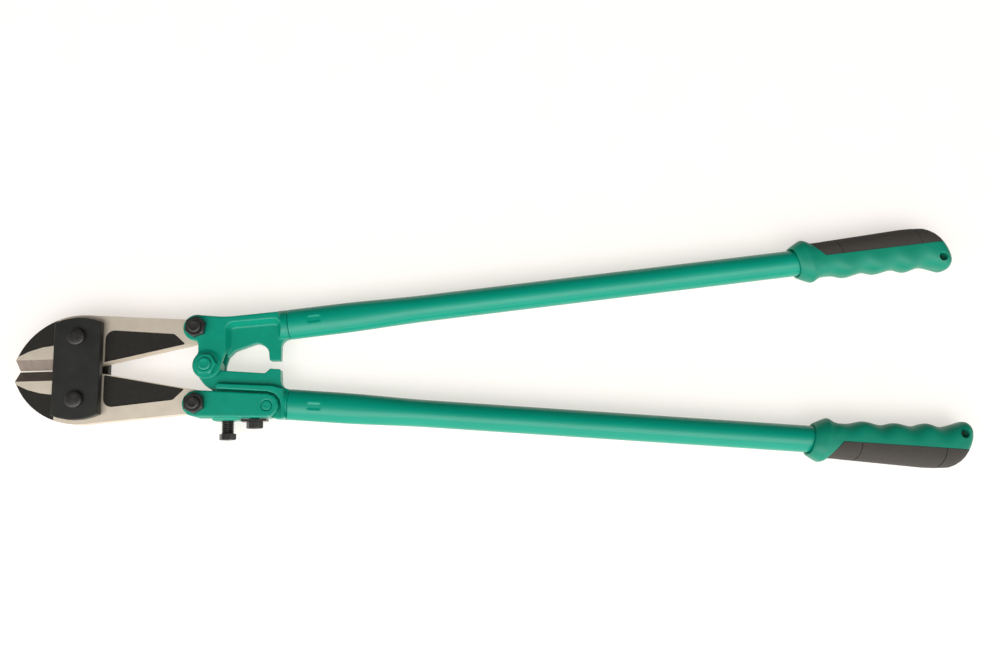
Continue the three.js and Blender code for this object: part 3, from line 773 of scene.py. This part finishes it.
# Thermoplastic rubber with moulded diagonal ribs: dull warm grey, almost no gloss.
# The ribs are 0.8 mm apart on the real pad and are drawn at 1.3 mm so that they show.
pad_rubber, shader, place = start_material("ribbed thermoplastic rubber", Roughness=0.78)
slanted = add_node(
    pad_rubber,
    "ShaderNodeMapping",
    {"Vector": place, "Rotation": (0.0, 0.0, math.radians(45))},
).outputs["Vector"]
rib_spacing = 1.3 * MM
wave_unit = 0.314159  # a wave texture of scale 1 repeats at this distance
ribs = add_node(
    pad_rubber,
    "ShaderNodeTexWave",
    {"Vector": slanted, "Scale": wave_unit / rib_spacing, "Distortion": 0.4, "Detail": 1.0},
).outputs["Fac"]
crumb = cloudy(pad_rubber, place, (0.9, 0.9, 0.9), 3.0)
# Ribs times crumb: the crumb adds random tone, and the grooves between the ribs come out darker, a
# painted shade in the creases. The same mix drives the relief.
rib_relief_and_groove_shade = add_node(
    pad_rubber, "ShaderNodeMath", {0: ribs, 1: crumb}, operation="MULTIPLY"
).outputs["Value"]
tint(pad_rubber, shader, rib_relief_and_groove_shade, "#332F2A", "#524C45")
relief(pad_rubber, shader, rib_relief_and_groove_shade, 0.6, 0.3)


def smooth_line(points, u):
    """The value at u on a smooth curve through points (u, value)."""
    k = max(i for i in range(len(points) - 1) if points[i][0] <= u or i == 0)
    (u0, a), (u1, b) = points[k], points[k + 1]
    before, after = points[max(0, k - 1)], points[min(len(points) - 1, k + 2)]
    rise_a = (b - before[1]) / (u1 - before[0]) * (u1 - u0)
    rise_b = (after[1] - a) / (after[0] - u0) * (u1 - u0)
    t = (u - u0) / (u1 - u0)
    hermite = (2 * t**3 - 3 * t**2 + 1) * a + (t**3 - 2 * t**2 + t) * rise_a
    return hermite + (3 * t**2 - 2 * t**3) * b + (t**3 - t**2) * rise_b


def straight_line(points, u):
    """The value at u on straight lines through points (u, value)."""
    if u <= points[0][0]:
        return points[0][1]
    for (u0, a), (u1, b) in zip(points, points[1:]):
        if u <= u1:
            return a + (b - a) * (u - u0) / (u1 - u0)
    return points[-1][1]


# The grip's outline in plan, as (u, v); bulb is the rounded corner at its inner end.
outer_edge = [(516, 17.0), (540, 17.7), (580, 19.0), (608, 19.9), (618, 19.6), (625, 18.4)]
outer_edge += [(629.8, 16.4), (634.3, 13.4), (637.8, 9.8), (641.3, 4.5), (643.8, -1.4)]
outer_edge += [(645.2, -6.5), (646, -11.0), (butt_end, -14.2)]
inner_edge = [(512, -16.4), (518, -16.5), (529.5, -17.0), (542.4, -19.8), (560, -17.6)]
inner_edge += [(572.8, -20.2), (590, -18.5), (602.9, -21.9), (617, -19.6), (630, -22.8)]
inner_edge += [(638.5, -26.0), (641, -26.2)]
bulb = [(638.5, -26.0), (641, -25.6), (643, -24.4), (644.8, -22.2), (645.9, -19.3)]
bulb += [(butt_end, -16.0)]


def grip_section(u):
    """(outer v, inner v, half height, squareness) of the grip at u."""
    outer = straight_line(outer_edge, u)
    inner = straight_line(bulb, u) if u > bulb[0][0] else smooth_line(inner_edge, u)
    height = grip_half_height
    if u > butt_start:
        roundness = math.sqrt(max(0.0, 1 - ((u - butt_start) / butt_length) ** 2))
        height = 8.0 + 8.0 * roundness
    valley = 0.0
    if u < butt_start - 0.1:
        valley = 0.5 + 0.5 * math.cos(2 * math.pi * (u - first_finger) / finger_pitch)
    return outer, inner, height, 3.0 - 0.7 * valley


def superellipse(angle, outer, inner, height, square):
    """The point (v, z) at an angle round a section whose inner half is as square as given."""
    middle, half = (outer + inner) / 2, (outer - inner) / 2
    c, s = math.cos(angle), math.sin(angle)
    power = 2 / (square if c < 0 else outer_squareness)
    v = middle + half * math.copysign(abs(c) ** power, c)
    z = height * math.copysign(abs(s) ** power, s)
    return v, z


def lofted_grip(side, with_guard):
    """The grip's whole outer skin. The guard's sections lean, so that its outer side comes
    further forward; with no guard, the pad's cross grooves are pressed in instead."""
    sections = []
    if with_guard:
        # (u, half width, half height), from inside the mouth outwards and back to the body
        guard = [(499.0, 13.1, 13.1), (494.4, 13.1, 13.1), (493.6, 13.9, 13.7), (493.6, 15.0, 14.6)]
        guard += [(494.2, 15.7, 15.2), (499.0, 18.3, 16.5), (503.6, 20.5, 17.6)]
        guard += [(504.6, 20.8, 17.8), (506.0, 20.7, 17.8), (508.0, 19.9, 17.5)]
        guard += [(512.0, 17.8, 16.6)]
        for u, wide, high in guard:
            lean = guard_lean * ease((520 - u) / 6)
            sections.append((u, wide, -wide, high, 2.15, lean, 0.0))
    first = 516.0 if with_guard else 505.0
    stations = [first + 1.2 * i for i in range(int((butt_start - first) / 1.2) + 1)]
    if not with_guard:
        for groove in pad_grooves:
            stations = [u for u in stations if abs(u - groove) > 1.2]
            stations += [groove - 0.9, groove - 0.45, groove - 0.2, groove + 0.2, groove + 0.45]
            stations += [groove + 0.9]
    stations += [636.5, 638, 639.5, 641, 642.2, 643.3, 644.3, 645.1, 645.8, 646.2, butt_end]
    for u in sorted(stations):
        outer, inner, height, square = grip_section(u)
        press = 0.0
        if not with_guard and min(abs(u - groove) for groove in pad_grooves) < 0.3:
            press = groove_depth
        lean = guard_lean * ease((524 - u) / 8) if with_guard else 0.0
        sections.append((u, outer, inner, height, square, lean, press))
    sides = 96
    work = bmesh.new()
    rings = []
    for u, outer, inner, height, square, lean, press in sections:
        ring = []
        for i in range(sides):
            angle = 2 * math.pi * (i + 0.5) / sides
            v, z = superellipse(angle, outer - press, inner + press, height - press, square)
            curl = 0.0
            if not with_guard and v > pad_seam:
                within = ease((624 - u) / 6) * ease((u - 520) / 10)
                curl = pad_curl * (v - pad_seam) ** 2 * within
            ring.append(work.verts.new(handle_point(side, u - lean * v - curl, v, z)))
        rings.append(ring)
    skin_rings(work, rings, -side, closed=False)
    for ring in (rings[0], rings[-1]):
        work.faces.new(ring)
    bmesh.ops.recalc_face_normals(work, faces=work.faces)
    return object_from(work, "grip")


def pad_cutter(side, grow):
    """A prism over the place of the soft pad, a little larger all round by grow."""
    edge, front = pad_seam - grow, pad_front - grow
    beyond_u, beyond_v = butt_end + 23.6, 40  # clear of the grip's skin
    corners = [(front - 19, beyond_v), (front - 4, 17), (front + pad_slant, edge)]
    corners += [(beyond_u, edge), (beyond_u, beyond_v)]
    work = bmesh.new()
    low = [work.verts.new(handle_point(side, u, v, -30)) for u, v in corners]
    high = [work.verts.new(handle_point(side, u, v, 30)) for u, v in corners]
    skin_rings(work, [low, high], side, closed=False)
    work.faces.new(low)
    work.faces.new(high)
    bmesh.ops.recalc_face_normals(work, faces=work.faces)
    return object_from(work, "cutter")


def cut_with(thing, cutter, operation):
    boolean = thing.modifiers.new("cut", "BOOLEAN")
    boolean.operation = operation
    boolean.solver = "EXACT"
    boolean.object = cutter
    settle(thing)
    bpy.data.objects.remove(cutter)


for name, side in (("upper", 1), ("lower", -1)):
    body = lofted_grip(side, True)
    body.name = name + "_moulded_grip"
    cut_with(body, pad_cutter(side, seam_gap), "DIFFERENCE")
    hole_centre = handle_point(side, hole_u, hole_v, 0)
    hole = turned(
        "hole",
        [
            (0, -22),
            (hole_flare, -19.5),
            (hole_radius, -14.8),
            (hole_radius, 14.8),
            (hole_flare, 19.5),
            (0, 22),
        ],
        hole_centre,
        48,
    )
    cut_with(body, hole, "DIFFERENCE")
    body.data.materials.append(grip_plastic)
    shade_smooth(body, 35)
    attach(body, name + "_handle")
    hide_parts(name + "_grip")

    pad = lofted_grip(side, False)
    pad.name = name + "_soft_pad"
    cut_with(pad, pad_cutter(side, 0.0), "INTERSECT")
    pad.data.materials.append(pad_rubber)
    shade_smooth(pad, 35)
    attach(pad, name + "_handle")
    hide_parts(name + "_grip_pad")

# ---- bench and light ----
# An opal acrylic top, lit evenly from below, that the tool rests on with its strap bolts
# and grips. One large soft box stands in front; the room is bright in front, dim behind.

white_bench, shader, place = start_material("opal acrylic bench top", Roughness=0.7)
speck = cloudy(white_bench, place, (40, 40, 40), 2.0)
tint(white_bench, shader, speck, "#B4B1AF", "#B9B7B5")
shader.inputs["Emission Color"].default_value = to_linear("#FFF9F2")
shader.inputs["Emission Strength"].default_value = 0.62
work = bmesh.new()
head_x = axis_of("upper_strap_bolt").x
grip_low, grip_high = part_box("upper_grip")
grip_x = (grip_low[0] + grip_high[0]) / 2
slope = grip_low[2] / (grip_x - head_x)
reach = 4.0  # metres, past the edges of any view from above
bench_corners = [(-reach, -reach), (reach, -reach), (reach, reach), (-reach, reach)]
bench_top = [work.verts.new((x, y, slope * (x - head_x))) for x, y in bench_corners]
work.faces.new(bench_top)
bench = object_from(work, "bench_top")
bench.data.materials.append(white_bench)


def soft_box(name, place, towards, width, height, watts):
    light = bpy.data.lights.new(name, "AREA")
    light.shape = "RECTANGLE"
    light.size = width
    light.size_y = height
    light.energy = watts
    thing = bpy.data.objects.new(name, light)
    direction = Vector(towards) - Vector(place)
    aim = direction.to_track_quat("-Z", "Y").to_matrix().to_4x4()
    thing.matrix_world = Matrix.Translation(place) @ aim
    bpy.context.scene.collection.objects.link(thing)


soft_box("front_box", (-0.3, -1.5, 2.3), (-0.15, 0, 0), 4.2, 1.6, 46)
room = bpy.data.worlds.new("studio_room")
bpy.context.scene.world = room
room.use_nodes = True
sky = room.node_tree.nodes["Background"]
direction = add_node(room, "ShaderNodeTexCoord").outputs["Generated"]
heading = add_node(room, "ShaderNodeSeparateXYZ", {"Vector": direction})
dim, bright = {"From Min": 0.35, "To Min": 0.06}, {"From Max": -0.55, "To Max": 1.5}
front = add_node(
    room,
    "ShaderNodeMapRange",
    {"Value": heading.outputs["Y"], **dim, **bright},
    interpolation_type="SMOOTHSTEP",
)
connect(room, front.outputs["Result"], sky.inputs["Strength"])
sky.inputs["Color"].default_value = to_linear("#FFFFFF")
bpy.context.scene.view_settings.view_transform = "Standard"
